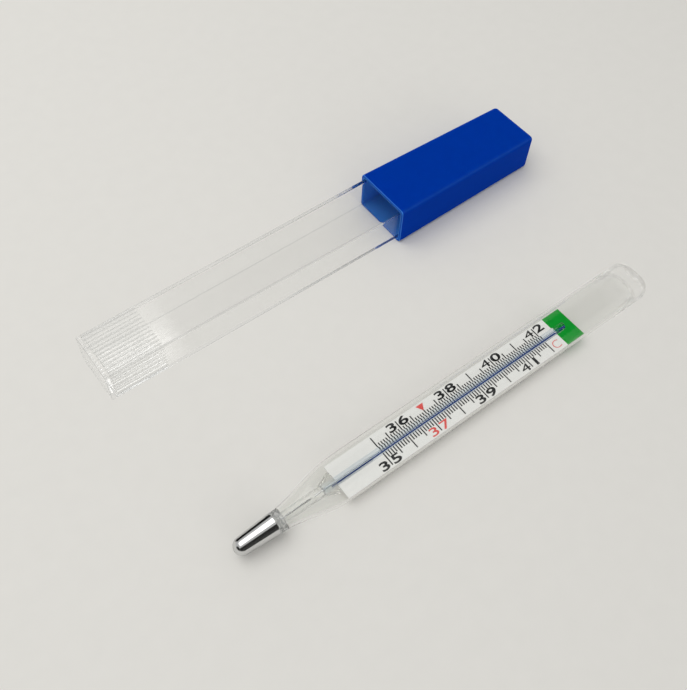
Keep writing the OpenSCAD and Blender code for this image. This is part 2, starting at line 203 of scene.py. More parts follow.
# Clear finishes: tint, refraction, most roughness, ripple depth, ripple stretch along X, clarity, cover
CLEAR_FINISHES = {
    "clear_glass": ("glass", 1.35, 0.05, 0.004 * MM, 0.15, 1.0, 1.0),
    "stem_glass": ("glass", 1.35, 0.05, 0.004 * MM, 0.15, 1.0, 0.6),
    "body_glass": ("glass", 1.3, 0.05, 0.004 * MM, 0.15, 1.0, 1.0),
    "capillary_glass": ("capillary", 1.3, 0.05, 0.003 * MM, 0.1, 1.0, 1.0),
    "fused_glass": ("fused", 1.4, 0.15, 0.01 * MM, 1.0, 0.8, 1.0),
    "case_clear": ("tube", 1.28, 0.12, 0.005 * MM, 0.12, 1.0, 1.0),
}
# Solid finishes: colour, its spread, least and most roughness, relief depth, grain, metal, shine
SOLID_FINISHES = {
    "liquid_metal": ("metal", 0.04, (0.04, 0.12), 0.004 * MM, 900.0, 1.0, 0.5),
    "scale_white": ("plate", 0.015, (0.42, 0.56), 0.006 * MM, 4000.0, 0.0, 0.15),
    "ink_black": ("black", 0.25, (0.45, 0.6), 0.003 * MM, 6000.0, 0.0, 0.1),
    "ink_red": ("red", 0.08, (0.45, 0.6), 0.003 * MM, 6000.0, 0.0, 0.1),
    "retainer_green": ("green", 0.06, (0.35, 0.5), 0.006 * MM, 3000.0, 0.0, 0.1),
    "stripe_blue": ("stripe", 0.08, (0.4, 0.55), 0.002 * MM, 4000.0, 0.0, 0.1),
    "cap_blue": ("cap", 0.03, (0.28, 0.36), 0.004 * MM, 1800.0, 0.0, 0.005),
    "table": ("table", 0.008, (0.5, 0.65), 0.01 * MM, 900.0, 0.0, 0.0),
}


# Materials

def feed(node, inputs):
    """Sets a node's inputs, by name or number, to values, to outputs or to other nodes' first outputs."""
    for name, item in inputs.items():
        if isinstance(item, Node):
            item = item.outputs[0]
        if isinstance(item, NodeSocket):
            node.id_data.links.new(item, node.inputs[name])
        else:
            node.inputs[name].default_value = item
    return node


def add_node(tree, kind, inputs=None, **settings):
    """New node of a tree with its settings, and with its inputs fed."""
    node = tree.nodes.new(kind)
    for name, item in settings.items():
        setattr(node, name, item)
    return feed(node, inputs or {})


def new_material(name):
    """Node material; returns it with its node tree and its shader."""
    material = bpy.data.materials.new(name)
    material.use_nodes = True
    return material, material.node_tree, material.node_tree.nodes["Principled BSDF"]


def attribute(tree, name):
    """Output that reads an attribute of the mesh."""
    return add_node(tree, "ShaderNodeAttribute", attribute_name=name).outputs["Fac"]


def grain(tree, scale, detail=4.0, stretch=1.0):
    """Noise in object space; a stretch below 1 makes it longer along X."""
    spot = add_node(tree, "ShaderNodeTexCoord").outputs["Object"]
    drawn = add_node(tree, "ShaderNodeMapping", {"Vector": spot, "Scale": (stretch, 1.0, 1.0)})
    return add_node(tree, "ShaderNodeTexNoise", {"Vector": drawn, "Scale": scale, "Detail": detail})


def vary_colour(tree, shader, pattern, tone, spread):
    """Base colour that wanders by a share, spread, to both sides of one of the scene's colours."""
    colour = getattr(bpy.context.scene.thermometer_colours, tone)
    ramp = add_node(tree, "ShaderNodeValToRGB", {"Fac": pattern})
    for element, spot, share in zip(ramp.color_ramp.elements, NOISE_RANGE, (1 - spread, 1 + spread)):
        element.position = spot
        element.color = [min(1.0, channel * share) for channel in colour] + [1.0]
    feed(shader, {"Base Color": ramp})


def vary_roughness(tree, shader, pattern, low, high):
    """Roughness between two values, following a noise."""
    gloss = add_node(tree, "ShaderNodeMapRange", {
        "Value": pattern, "From Min": NOISE_RANGE[0], "From Max": NOISE_RANGE[1],
        "To Min": low, "To Max": high})
    feed(shader, {"Roughness": gloss})


def add_bump(tree, shader, pattern, strength, depth):
    """Relief of a given depth in metres, following a noise."""
    bump = add_node(tree, "ShaderNodeBump", {"Height": pattern, "Strength": strength, "Distance": depth})
    feed(shader, {"Normal": bump})


def clear_finish(name):
    """Clear finish with faint smears and drawn ripples; a thin cover keeps the edges of thin walls pale."""
    tone, index, rough, ripple, stretch, clarity, cover = CLEAR_FINISHES[name]
    material, tree, shader = new_material(name)
    feed(shader, {"Transmission Weight": clarity, "Alpha": cover, "IOR": index})
    vary_colour(tree, shader, grain(tree, scale=180.0), tone, spread=0.005)
    vary_roughness(tree, shader, grain(tree, scale=420.0, detail=6.0, stretch=stretch), 0.0, rough)
    add_bump(tree, shader, grain(tree, scale=260.0, detail=2.0, stretch=stretch), RIPPLE_STRENGTH, ripple)
    return material


def solid_finish(name, rough=None):
    """Finish with mottled colour, uneven gloss and a fine relief; rough takes the place of its own gloss."""
    tone, spread, own_rough, relief, scale, metallic, specular = SOLID_FINISHES[name]
    material, tree, shader = new_material(name)
    feed(shader, {"Metallic": metallic, "Specular IOR Level": specular})
    mottle, gloss = scale * 0.25, scale * 0.6
    vary_colour(tree, shader, grain(tree, mottle), tone, spread)
    vary_roughness(tree, shader, grain(tree, gloss, detail=5.0), *(rough or own_rough))
    add_bump(tree, shader, grain(tree, scale, detail=3.0), strength=0.35, depth=relief)
    return material


def blend_edges(material, tone):
    """Mixes the base colour towards one of the scene's colours where the mesh's edge attribute is high:
    painted shade on the tube's edges, painted highlights on the cap's edges and painted light in its hollow.
    """
    colour = getattr(bpy.context.scene.thermometer_colours, tone)
    tree = material.node_tree
    shader = tree.nodes["Principled BSDF"]
    plain = shader.inputs["Base Color"].links[0].from_socket
    first, second, result = 6, 7, 2  # the mix node's colour sockets
    blend = add_node(tree, "ShaderNodeMix", {
        "Factor": attribute(tree, "edge"), first: plain, second: (*colour, 1.0)}, data_type="RGBA")
    feed(shader, {"Base Color": blend.outputs[result]})
    return material


def body_finish():
    """Glass of the body, whose cover comes from the mesh's cover attribute."""
    material = clear_finish("body_glass")
    tree = material.node_tree
    feed(tree.nodes["Principled BSDF"], {"Alpha": attribute(tree, "cover")})
    return material


def tube_finish():
    """Clear plastic, rippled on its flats and smooth on the ribs, where the mesh's grip attribute is 1, with
    a painted grey shade along its rounded edges and ribs.
    """
    material = clear_finish("case_clear")
    tree = material.node_tree
    calm = add_node(tree, "ShaderNodeMapRange", {
        "Value": attribute(tree, "grip"), "To Min": RIPPLE_STRENGTH, "To Max": 0.0})
    feed(tree.nodes["Bump"], {"Strength": calm})
    return blend_edges(material, "tube_edge")


def cap_finish():
    """Satin blue plastic with light inside, painted paler where the mesh's edge attribute is high: a painted
    highlight on the rim and rounded edges, and painted light in the hollow.
    """
    material = solid_finish("cap_blue")
    feed(material.node_tree.nodes["Principled BSDF"], {
        "Subsurface Weight": 0.4, "Subsurface Radius": (0.1, 0.5, 1.0), "Subsurface Scale": 2 * MM})
    return blend_edges(material, "cap_edge")


# Meshes

def place(data, name):
    """New object at the origin, linked to the scene."""
    obj = bpy.data.objects.new(name, data)
    bpy.context.scene.collection.objects.link(obj)
    return obj


def frozen(obj):
    """Plain mesh of an object as its modifiers leave it."""
    depsgraph = bpy.context.evaluated_depsgraph_get()
    return bpy.data.meshes.new_from_object(obj.evaluated_get(depsgraph), depsgraph=depsgraph)


def store(mesh, name, domain, values):
    """Stores a number for each point, corner or face of a mesh."""
    mesh.attributes.new(name, "FLOAT", domain).data.foreach_set("value", values)


def finish_mesh(bm, name, material, sharp_degrees=38.0):
    """Smooth-shaded object from a bmesh, with its faces outwards and its sharp edges marked."""
    bmesh.ops.recalc_face_normals(bm, faces=bm.faces)
    for face in bm.faces:
        face.smooth = True
    for edge in bm.edges:
        edge.smooth = edge.calc_face_angle(0.0) < radians(sharp_degrees)
    mesh = bpy.data.meshes.new(name)
    bm.to_mesh(mesh)
    bm.free()
    mesh.materials.append(material)
    return place(mesh, name)


def skin(name, rows, material, ring=False):
    """Closed skin through rows of points, where one point is a pole; ring joins the last row to the first."""
    bm = bmesh.new()
    verts = [[bm.verts.new(point) for point in row] for row in rows]
    pairs = list(zip(verts, verts[1:])) + ([(verts[-1], verts[0])] if ring else [])
    for low, high in pairs:
        count = max(len(low), len(high))
        for i in range(count):
            j = (i + 1) % count
            corners = (low[i % len(low)], low[j % len(low)], high[j % len(high)], high[i % len(high)])
            bm.faces.new(list(dict.fromkeys(corners)))
    return finish_mesh(bm, name, material)


def steps(count):
    """Shares from 0 to 1 in even steps."""
    return [i / count for i in range(count + 1)]


def angles(count, turn=RIGHT_ANGLE):
    """Angles from 0 to a turn in even steps."""
    return [turn * t for t in steps(count)]


def smooth_rise(t):
    """Smooth rise from 0 to 1."""
    return t * t * (3 - 2 * t)


def quarter(radius, count=ROUND_STEPS):
    """Points of a quarter round: how far in from the side, and how far on towards the end."""
    return [(radius * (1 - cos(a)), radius * sin(a)) for a in angles(count)]


def on_axis(x):
    """Pole on the thermometer's axis."""
    return [(x, AXIS_Y, AXIS_Z)]


def ring_row(x, reach, points=RING_POINTS, lowest=-inf):
    """Ring about the thermometer's axis; reach gives the radius at an angle, and no point is under lowest."""
    row = []
    for i in range(points):
        angle = TURN * i / points
        radius = reach(angle)
        row.append((x, AXIS_Y + radius * cos(angle), max(AXIS_Z + radius * sin(angle), lowest)))
    return row


def turned_rows(profile, points=RING_POINTS):
    """Rows of a turned shape from stations and radii, where a radius of 0 is a pole."""
    return [ring_row(x, lambda _: radius, points) if radius > 0 else on_axis(x) for x, radius in profile]


def shrink_row(row, centre, share, x):
    """Row scaled towards a centre line and moved to a station."""
    return [(x, centre[0] + (y - centre[0]) * share, centre[1] + (z - centre[1]) * share) for _, y, z in row]


def closed_end(row, centre, x, *shares):
    """Pole at a station, and the rows that close a row towards it."""
    return [[(x, *centre)]] + [shrink_row(row, centre, share, x) for share in shares]


def rounded_box_row(x, width, height, radius, middle, corner=ROUND_STEPS):
    """Rounded rectangle across X, with support points beside its corners."""
    row = []
    for turn, (side_y, side_z) in enumerate(((1, 1), (-1, 1), (-1, -1), (1, -1))):
        centre_y = side_y * (width / 2 - radius)
        centre_z = side_z * (height / 2 - radius)
        arc = [(centre_y + radius * cos(a), centre_z + radius * sin(a))
               for a in (RIGHT_ANGLE * (turn + t) for t in steps(corner))]
        before = (arc[0][0] + SUPPORT * sin(RIGHT_ANGLE * turn),
                  arc[0][1] - SUPPORT * cos(RIGHT_ANGLE * turn))
        after = (arc[-1][0] + SUPPORT * cos(RIGHT_ANGLE * (turn + 2)),
                 arc[-1][1] + SUPPORT * sin(RIGHT_ANGLE * (turn + 2)))
        row += [before, *arc, after]
    return [(x, middle[0] + y, middle[1] + z) for y, z in row]


def settle(obj, slot, body, *nodes):
    """Puts a piece on its body and lets it stand for CAD nodes."""
    if nodes:
        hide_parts(*nodes)
    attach(obj, body)


def edge_lean(normal):
    """How much a normal leans away from the axes: 0 on a flat side, 1 on a rounded edge."""
    steepness = 3.4
    return min(1.0, steepness * (1 - max(abs(part) for part in normal)))


def let_light_pass(obj):
    """Lets the light on the table and on the scale pass a clear piece undimmed."""
    obj.visible_shadow = obj.visible_diffuse = False
    return obj


def dress(node, material):
    """Gives a CAD node that keeps its shape a finish."""
    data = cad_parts[node].data
    data.materials.clear()
    data.materials.append(material)


# Glass body

def oval_reach(angle, half_width, half_thickness, squareness):
    """Distance from the axis to the oval section's outline at an angle."""
    across = abs(cos(angle)) / half_width
    up = abs(sin(angle)) / half_thickness
    return (across ** squareness + up ** squareness) ** (-1 / squareness)


def soft_least(a, b, sharpness=22.0):
    """The smaller of two lengths, with a smooth change from one to the other."""
    return (a ** -sharpness + b ** -sharpness) ** (-1 / sharpness)


def taper_radius(x, glass):
    """Radius of the round taper, from the neck into the body and growing on past it."""
    growth, opening = BODY_HALF - NECK_RADIUS, 6
    t = (x - BODY_LOW.x) / glass.taper_length
    if t <= 1:
        return NECK_RADIUS + growth * (smooth_rise(t) + t) / 2
    return BODY_HALF + growth * ((t - 1) / 2 + opening * (t - 1) ** 2)


def body_row(x, inset, rim, glass):
    """Section of the glass body, inset by a wall and drawn in by rim; the outside is flat along its back."""
    taper = taper_radius(x, glass) - inset
    oval = (BODY_HALF - inset - rim, glass.half_thickness - inset - rim, glass.squareness)
    return ring_row(x, lambda angle: soft_least(taper, oval_reach(angle, *oval)),
                    lowest=-inf if inset > 0 else BODY_LOW.z)


class THERMOMETER_OT_glass_body(Operator):
    """Makes the glass body with its taper, its hollow and its sealed end"""

    bl_idname = "thermometer.glass_body"
    bl_label = "Glass body"

    def rows(self, glass):
        """Rows of the body's skin: sealed end, outside, hollow, pit."""
        centre = (AXIS_Y, AXIS_Z)
        start, cavity_end, end = BODY_LOW.x, BODY_HIGH.x, SEALED_END
        rim, hollow = glass.rim_rounding, glass.hollow_rounding
        taper_end = start + glass.taper_length
        stations = [start + t * glass.taper_length for t in steps(28)]
        stations += [taper_end + t * (cavity_end - taper_end - hollow) for t in steps(30)[1:]]
        rows = closed_end(body_row(end, 0.0, rim, glass), centre, end, 0.3, 0.6, 0.85)
        rows += [body_row(end - rim + on, 0.0, inward, glass) for inward, on in reversed(quarter(rim, 12))]
        rows += [body_row(x, 0.0, 0.0, glass) for x in (cavity_end, *reversed(stations))]
        rows += [body_row(x, glass.wall, 0.0, glass) for x in stations]
        rows += [body_row(cavity_end - hollow + on, glass.wall, inward, glass)
                 for inward, on in quarter(hollow)[1:]]
        hollow_end = rows[-1]
        reach = max(y for _, y, _ in hollow_end) - AXIS_Y
        for share in (0.8, 0.6, 0.45, 0.33, 0.24, 0.17, 0.11, 0.05):
            dip = glass.pit_depth * exp(-(share * reach / glass.pit_radius) ** 2)
            rows.append(shrink_row(hollow_end, centre, share, cavity_end + dip))
        return rows + [on_axis(cavity_end + glass.pit_depth)]

    def mark_cover(self, mesh):
        """Stores a full cover along the body and a thin one at the sealed end, whose edges stay pale."""
        thin, start, fade = 0.45, BODY_HIGH.x - 6 * MM, 4 * MM
        shares = [smooth_rise(min(1.0, max(0.0, (vertex.co.x - start) / fade))) for vertex in mesh.vertices]
        store(mesh, "cover", "POINT", [1 - (1 - thin) * share for share in shares])

    def execute(self, context):
        body = skin("glass_body", self.rows(context.scene.thermometer_glass), body_finish())
        self.mark_cover(body.data)
        settle(let_light_pass(body), "clear_glass", "thermometer", "envelope", "end_closure")
        return {"FINISHED"}


class THERMOMETER_OT_bulb(Operator):
    """Makes the bulb's glass, the fused neck and the liquid metal in the bulb"""

    bl_idname = "thermometer.bulb"
    bl_label = "Bulb and neck"

    def outline(self, glass, inset):
        """Stations and radii from the bulb's tip to its shoulder, inset by a wall."""
        tip = glass.bulb_tip_radius
        nose_end = BULB_LOW.x + tip
        shoulder = (BULB_HIGH.y - BULB_LOW.y) / 2
        nose = [(nose_end - (tip - inset) * cos(a), (tip - inset) * sin(a)) for a in angles(14)]
        side = [(nose_end + t * (BULB_HIGH.x - BULB_LOW.x - tip), tip + (shoulder - tip) * t - inset)
                for t in steps(6)[1:]]
        return nose + side

    def neck_rows(self, glass):
        """Rows of the fused ring: a narrow bead, a groove and a wider bead, a little uneven."""
        groove, lump, split, play = 0.3 * MM, 0.04 * MM, 0.36, 0.03 * MM
        along, around, scale = 3.1, 2.6, 0.8  # how the lumps' noise is spread
        rows = []
        for t in steps(28):
            across = t / split if t < split else (t - split) / (1 - split)
            bead = sqrt(max(0.0, 1 - (2 * across - 1) ** 4))

            def reach(angle):
                spot = Vector((t * along, around * cos(angle), around * sin(angle)))
                return NECK_RADIUS - groove * (1 - bead) - lump * (0.5 + 0.5 * noise.noise(spot * scale))

            rows.append(ring_row(NECK_LOW.x + t * (NECK_HIGH.x - NECK_LOW.x), reach))
        hole = glass.stem_radius + play
        return rows + turned_rows([(NECK_HIGH.x, hole), (NECK_LOW.x, hole)])

    def execute(self, context):
        glass = context.scene.thermometer_glass
        overlap, play = 0.01 * MM, 0.04 * MM
        walls = self.outline(glass, 0.0) + self.outline(glass, glass.bulb_wall)[::-1]
        shell = skin("bulb_glass_shell", turned_rows(walls), clear_finish("clear_glass"))
        settle(let_light_pass(shell), "clear_glass", "thermometer", "bulb_glass")
        neck = skin("neck_fused_ring", self.neck_rows(glass), clear_finish("fused_glass"), ring=True)
        settle(neck, "fused_glass", "thermometer", "neck_seal")
        column = glass.bore_radius - play
        profile = self.outline(glass, glass.bulb_wall - overlap)
        profile += [(BULB_HIGH.x, column), (COLUMN_TOP - column, column), (COLUMN_TOP, 0.0)]
        liquid = skin("bulb_liquid_metal", turned_rows(profile), solid_finish("liquid_metal"))
        settle(liquid, "liquid_metal", "thermometer", "bulb_liquid")
        return {"FINISHED"}


class THERMOMETER_OT_stem(Operator):
    """Makes the thick stem with its pinched bore and the capillary on the scale"""

    bl_idname = "thermometer.stem"
    bl_label = "Stem and capillary"

    def stem_profile(self, glass):
        """Stations and radii round the stem's wall, outside first, then back through the bore."""
        flare = (STEM_HIGH.y - STEM_LOW.y) / 2
        flare_start = STEM_HIGH.x - glass.flare_length
        base = CAPILLARY_LOW.x
        lip = glass.flare_wall / 2
        edge = STEM_HIGH.x - lip
        play = 0.04 * MM

        def collar(x, wall=0.0):
            share = max(0.0, (x - flare_start) / glass.flare_length)
            return x, glass.stem_radius + (flare - glass.stem_radius) * share - wall

        profile = [(STEM_LOW.x, glass.stem_radius)]
        profile += [collar(flare_start + t * (edge - flare_start)) for t in steps(12)]
        profile += [(edge + lip * sin(a), collar(edge)[1] - lip + lip * cos(a))
                    for a in angles(8, pi)[1:-1]]
        profile += [collar(edge + t * (base - edge), glass.flare_wall) for t in steps(8)]
        profile.append((base, glass.bore_radius))
        pinch = COLUMN_TOP + play + glass.pinch_length / 2
        depth = glass.bore_radius - glass.pinch_radius
        profile += [(pinch + cos(a) * glass.pinch_length / 2, glass.bore_radius - depth * sin(a) ** 2)
                    for a in angles(12, pi)]
        return profile + [(STEM_LOW.x, glass.bore_radius)]

    def capillary_rows(self, glass):
        """Rows of the capillary's skin: melted end, outside with its flat back, bore, chamber."""
        start, end = CAPILLARY_LOW.x, CAPILLARY_HIGH.x
        melt = 0.5 * MM
        radius = (CAPILLARY_HIGH.y - CAPILLARY_LOW.y) / 2
        back = AXIS_Z - CAPILLARY_LOW.z

        def section(x, share):
            return ring_row(x, lambda _: radius * share, lowest=AXIS_Z - back * share)

        rows = [on_axis(end)]
        rows += [section(end - melt + melt * sin(a), cos(a))
                 for a in (RIGHT_ANGLE * (1 - t) for t in steps(6)[1:])]
        rows += [section(start + t * (end - melt - start), 1.0) for t in reversed(steps(16)[:-1])]
        bore, bore_end = glass.bore_radius, end - glass.capillary_end
        chamber, room = glass.chamber_radius, glass.chamber_length
        return rows + turned_rows([(start, bore), (bore_end - room, bore), (bore_end - 0.8 * room, chamber),
                                   (bore_end - 0.2 * room, chamber), (bore_end, 0.0)])

    def execute(self, context):
        glass = context.scene.thermometer_glass
        stem_rows = turned_rows(self.stem_profile(glass))
        stem = skin("stem_glass", stem_rows, clear_finish("stem_glass"), ring=True)
        settle(let_light_pass(stem), "clear_glass", "thermometer", "stem_tube")
        capillary = skin("capillary_glass", self.capillary_rows(glass), clear_finish("capillary_glass"))
        settle(let_light_pass(capillary), "clear_glass", "thermometer", "capillary_tube")
        return {"FINISHED"}


class THERMOMETER_OT_thread(Operator):
    """Makes the thread of liquid metal, which lengthens as its top rises"""

    bl_idname = "thermometer.thread"
    bl_label = "Liquid thread"

    def execute(self, context):
        points = 24
        dull = (0.5, 0.6)
        radius = (THREAD_HIGH.y - THREAD_LOW.y) / 2
        length = THREAD_HIGH.x - THREAD_LOW.x
        profile = [(THREAD_LOW.x, 0.0)]
        profile += [(THREAD_LOW.x + t * (length - radius), radius) for t in steps(40)]
        profile += [(THREAD_HIGH.x - radius + radius * sin(a), radius * cos(a))
                    for a in angles(5)[1:-1]]
        profile.append((THREAD_HIGH.x, 0.0))
        metal = solid_finish("liquid_metal", dull)
        thread = skin("liquid_metal_thread", turned_rows(profile, points), metal)
        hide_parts("liquid_thread")
        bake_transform(thread)
        return {"FINISHED"}


# Node trees for what repeats

def new_tree(name, **inputs):
    """Geometry tree with named inputs of several kinds; returns it with the inputs' identifiers."""
    tree = bpy.data.node_groups.new(name, "GeometryNodeTree")
    tree.interface.new_socket(name="Geometry", in_out="OUTPUT", socket_type="NodeSocketGeometry")
    identifiers = {}
    for kind, labels in inputs.items():
        for label in labels:
            socket = tree.interface.new_socket(name=label, in_out="INPUT", socket_type="NodeSocket" + kind)
            identifiers[label] = socket.identifier
    return tree, identifiers


def copy_along(tree, instance, count, step, start):
    """Copies of a shape along a line of points."""
    line = add_node(tree, "GeometryNodeMeshLine", {"Count": count, "Offset": step, "Start Location": start})
    return add_node(tree, "GeometryNodeInstanceOnPoints", {"Points": line, "Instance": instance})


def end_tree(tree, copies, material):
    """Makes the copies real, gives them a material and hands them out."""
    real = add_node(tree, "GeometryNodeRealizeInstances", {"Geometry": copies})
    finish = add_node(tree, "GeometryNodeSetMaterial", {"Geometry": real, "Material": material})
    add_node(tree, "NodeGroupOutput", {"Geometry": finish})


def lines_tree(material):
    """Node tree that prints groups of equal lines on both sides of the axis."""
    tree, identifiers = new_tree(
        "graduation_lines", Int=("Groups", "Lines"), Vector=("First line",),
        Float=("Group spacing", "Line spacing", "Width", "Start", "Reach", "Thickness"))
    read = add_node(tree, "NodeGroupInput").outputs

    def maths(operation, a, b):
        return add_node(tree, "ShaderNodeMath", {0: a, 1: b}, operation=operation)

    def vector(x=0.0, y=0.0, z=0.0):
        return add_node(tree, "ShaderNodeCombineXYZ", {"X": x, "Y": y, "Z": z})

    length = maths("SUBTRACT", read["Reach"], read["Start"])
    middle = maths("MULTIPLY", maths("ADD", read["Reach"], read["Start"]), 0.5)
    lift = maths("MULTIPLY", read["Thickness"], 0.5)
    bar = add_node(tree, "GeometryNodeMeshCube", {"Size": vector(read["Width"], length, read["Thickness"])})
    pair = add_node(tree, "GeometryNodeJoinGeometry")
    for side in (1.0, -1.0):
        move = add_node(tree, "GeometryNodeTransform", {
            "Geometry": bar, "Translation": vector(y=maths("MULTIPLY", middle, side), z=lift)})
        feed(pair, {"Geometry": move})
    group = copy_along(tree, pair, read["Lines"], vector(read["Line spacing"]), (0.0, 0.0, 0.0))
    groups = copy_along(tree, group, read["Groups"], vector(read["Group spacing"]), read["First line"])
    end_tree(tree, groups, material)
    return tree, identifiers


def ribs_tree(material):
    """Node tree that sets out a row of round-backed grip ribs."""
    tree, identifiers = new_tree(
        "grip_ribs", Int=("Count",), Vector=("Step", "First", "Length"), Float=("Radius",))
    read = add_node(tree, "NodeGroupInput").outputs
    rib = add_node(tree, "GeometryNodeCurvePrimitiveLine", {"End": read["Length"]})
    section = add_node(tree, "GeometryNodeCurvePrimitiveCircle", {"Resolution": 12, "Radius": read["Radius"]})
    sweep = add_node(tree, "GeometryNodeCurveToMesh", {
        "Curve": rib, "Profile Curve": section, "Fill Caps": True})
    end_tree(tree, copy_along(tree, sweep, read["Count"], read["Step"], read["First"]), material)
    return tree, identifiers


def grown(name, tree, identifiers, values):
    """Plain mesh object made by a node tree with its named inputs set."""
    obj = place(bpy.data.meshes.new(name + "_seed"), name)
    modifier = obj.modifiers.new("nodes", "NODES")
    modifier.node_group = tree
    for label, item in values.items():
        modifier[identifiers[label]] = item
    mesh = frozen(obj)
    obj.modifiers.clear()
    seed = obj.data
    obj.data = mesh
    mesh.name = name
    bpy.data.meshes.remove(seed)
    return obj


# Scale

def degree_length(scale):
    """Length of one degree, from the first and the last degree line."""
    return (DEGREES_HIGH.x - DEGREES_LOW.x - scale.mark_width) / (LAST_DEGREE - FIRST_DEGREE)


def degree_x(degree, scale):
    """Station of a degree line."""
    return DEGREES_LOW.x + scale.mark_width / 2 + (degree - FIRST_DEGREE) * degree_length(scale)


class THERMOMETER_OT_plate(Operator):
    """Finishes the white plate, the green retainer and the capillary's stripe"""

    bl_idname = "thermometer.plate"
    bl_label = "Scale plate"

    def execute(self, context):
        dress("scale_plate", solid_finish("scale_white"))
        dress("scale_retainer", solid_finish("retainer_green"))
        dress("blue_stripe", solid_finish("stripe_blue"))
        return {"FINISHED"}


class THERMOMETER_OT_lines(Operator):
    """Prints the degree, half-degree and tenth-degree lines"""

    bl_idname = "thermometer.lines"
    bl_label = "Graduation lines"

    def execute(self, context):
        scale = context.scene.thermometer_scale
        tree, identifiers = lines_tree(solid_finish("ink_black"))
        degree = degree_length(scale)
        count = LAST_DEGREE - FIRST_DEGREE
        # Piece, groups, their spacing, lines in a group, the first line's place past the degree, reach
        kinds = {
            "degree_lines": ("scale_degree_lines", count + 1, degree, 1, 0.0, DEGREES_HIGH.y),
            "half_degree_lines": ("scale_half_lines", count, degree, 1, 0.5, HALVES_REACH),
            "tenth_lines": ("scale_tenth_lines", 2 * count, degree / 2, 4, 0.1, TENTHS_REACH)}
        for node, (name, groups, spacing, lines, offset, reach) in kinds.items():
            first = (degree_x(FIRST_DEGREE + offset, scale), AXIS_Y, DEGREES_LOW.z)
            marks = grown(name, tree, identifiers, {
                "Groups": groups, "Group spacing": spacing, "Lines": lines, "Line spacing": degree / 10,
                "First line": first, "Width": scale.mark_width, "Start": scale.mark_start,
                "Reach": reach - AXIS_Y, "Thickness": scale.ink_thickness})
            settle(marks, "ink_black", "thermometer", node)
        return {"FINISHED"}


class THERMOMETER_OT_numerals(Operator):
    """Prints the numerals, the red arrow and the red unit letter"""

    bl_idname = "thermometer.numerals"
    bl_label = "Numerals"

    def letter(self, text, weight):
        """Mesh of one printed letter about its middle, with its size."""
        curve = bpy.data.curves.new("letter", "FONT")
        curve.body, curve.offset = text, weight
        curve.extrude, curve.resolution_u = 0.5, 6
        holder = place(curve, "letter")
        mesh = frozen(holder)
        bpy.data.objects.remove(holder)
        bpy.data.curves.remove(curve)
        low, high = (Vector([pick(vert.co[k] for vert in mesh.vertices) for k in range(3)])
                     for pick in (min, max))
        mesh.transform(Matrix.Translation(-(low + high) / 2))
        return mesh, high - low

    def put(self, mesh, stretch, x, y, thickness):
        """Stretches a letter and puts it on the plate about a middle."""
        middle = Vector((x, y, PLATE_TOP + thickness / 2))
        mesh.transform(Matrix.Translation(middle) @ Matrix.Diagonal((*stretch, thickness, 1.0)))
        return mesh

    def printed(self, name, words, slot):
        """Prints several letters as one piece in an ink."""
        bm = bmesh.new()
        for mesh in words:
            bm.from_mesh(mesh)
            bpy.data.meshes.remove(mesh)
        bmesh.ops.remove_doubles(bm, verts=bm.verts, dist=0.0005 * MM)
        settle(finish_mesh(bm, name, solid_finish(slot)), slot, "thermometer")

    def execute(self, context):
        scale = context.scene.thermometer_scale
        ink = scale.ink_thickness
        weights = {"black": 0.022, "red": 0.008, "4": 0.0}
        nought, size = self.letter("0", weights["black"])
        bpy.data.meshes.remove(nought)
        stretch = (scale.numeral_width / size.x, scale.numeral_height / size.y)
        words = {"black": [], "red": []}
        for degree in range(FIRST_DEGREE, LAST_DEGREE + 1):
            colour = "red" if degree == FEVER_DEGREE else "black"
            row = scale.numeral_row if degree % 2 == 0 else -scale.numeral_row
            for digit, side in zip(str(degree), (-0.5, 0.5)):
                mesh = self.letter(digit, weights.get(digit, weights[colour]))[0]
                x = degree_x(degree, scale) + side * scale.numeral_pitch
                words[colour].append(self.put(mesh, stretch, x, AXIS_Y + row, ink))
        width, height, thin, past, below = 2.1 * MM, 2.2 * MM, -0.02, 2.0 * MM, 2.8 * MM
        unit, size = self.letter("C", thin)
        words["red"].append(self.put(unit, (width / size.x, height / size.y),
                                     degree_x(LAST_DEGREE, scale) + past, AXIS_Y - below, ink))
        self.printed("scale_numerals", words["black"], "ink_black")
        self.printed("scale_red_numerals", words["red"], "ink_red")
        dress("fever_arrow", solid_finish("ink_red"))
        return {"FINISHED"}


# Case

